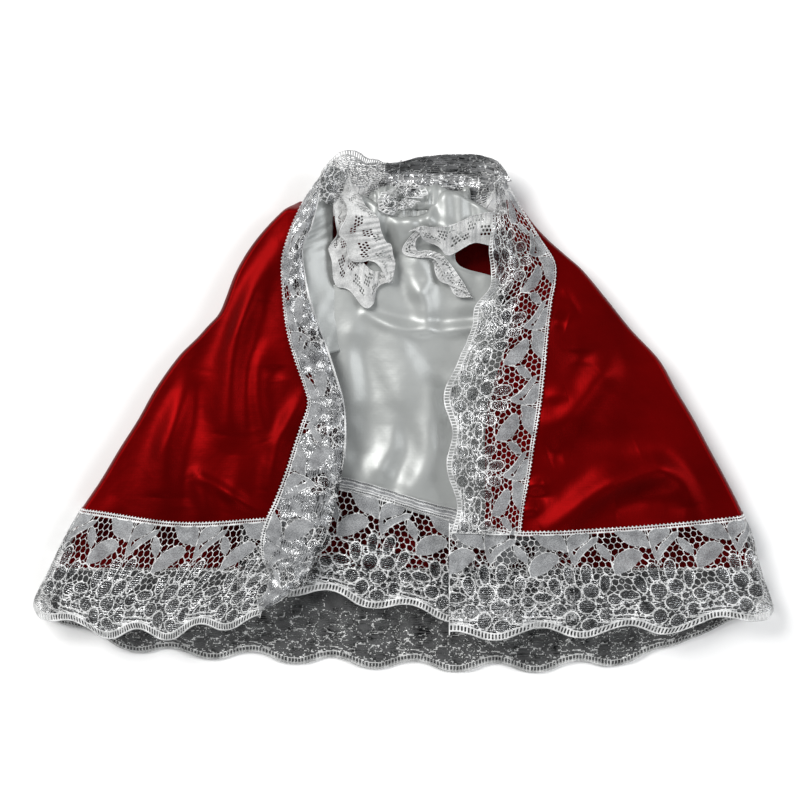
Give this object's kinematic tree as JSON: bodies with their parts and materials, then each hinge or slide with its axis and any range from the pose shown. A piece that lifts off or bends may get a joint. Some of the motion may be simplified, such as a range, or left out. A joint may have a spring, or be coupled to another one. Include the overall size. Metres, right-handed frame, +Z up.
{
  "type": "lace-trimmed cape and tunic set",
  "caption": "Red satin cape with silver lace edging laid over a sleeveless white satin tunic with lace frills, sized for a small figure.",
  "frame": {"origin": "centre of the outline of the set as it lies flat, on the surface it lies on", "axes": "+X to the viewer's right across the set, +Y from hem to neck, +Z up from the surface, out of the cape's front opening"},
  "size_m": [0.3839, 0.2728, 0.026],
  "materials": {
    "red_satin": "glossy deep red polyester satin",
    "white_satin": "glossy cool white polyester satin",
    "silver_lace": "white raschel lace with silver metallic yarn",
    "white_tape": "matt white woven tape",
    "neck_elastic": "woven elastic"
  },
  "bodies": {
    "cape_back": {"cape_back_panel": "red_satin", "cape_back_hem_lace": "silver_lace", "cape_neck_tape": "white_tape", "cape_collar_lace": "silver_lace"},
    "left_front": {"cape_left_front_panel": "red_satin", "cape_left_hem_lace": "silver_lace", "cape_left_edge_lace": "silver_lace"},
    "right_front": {"cape_right_front_panel": "red_satin", "cape_right_hem_lace": "silver_lace", "cape_right_edge_lace": "silver_lace"},
    "tunic": {"tunic_front": "white_satin", "tunic_back": "white_satin", "tunic_front_hem_lace": "silver_lace", "tunic_back_hem_lace": "silver_lace", "tunic_neck_casing": "white_satin", "tunic_neck_elastic": "neck_elastic", "tunic_neck_ruffle": "silver_lace", "tunic_left_armhole_ruffle": "silver_lace", "tunic_left_armhole_upper_tier": "silver_lace", "tunic_right_armhole_ruffle": "silver_lace", "tunic_right_armhole_upper_tier": "silver_lace"}
  },
  "joints": [
    {"name": "left_front_opening", "type": "hinge", "parent": "cape_back", "child": "left_front", "pos_m": [-0.11545, 0.0094, 0.0182], "axis": [-0.5386, -0.8425, 0], "range_deg": [0, 160]},
    {"name": "right_front_opening", "type": "hinge", "parent": "cape_back", "child": "right_front", "pos_m": [0.1165, 0.0133, 0.0182], "axis": [-0.5156, 0.8568, 0], "range_deg": [0, 160]},
    {"name": "tunic_pull_out", "type": "slide", "parent": "cape_back", "child": "tunic", "axis": [0, -1, 0], "range_m": [0, 0.26]}
  ]
}
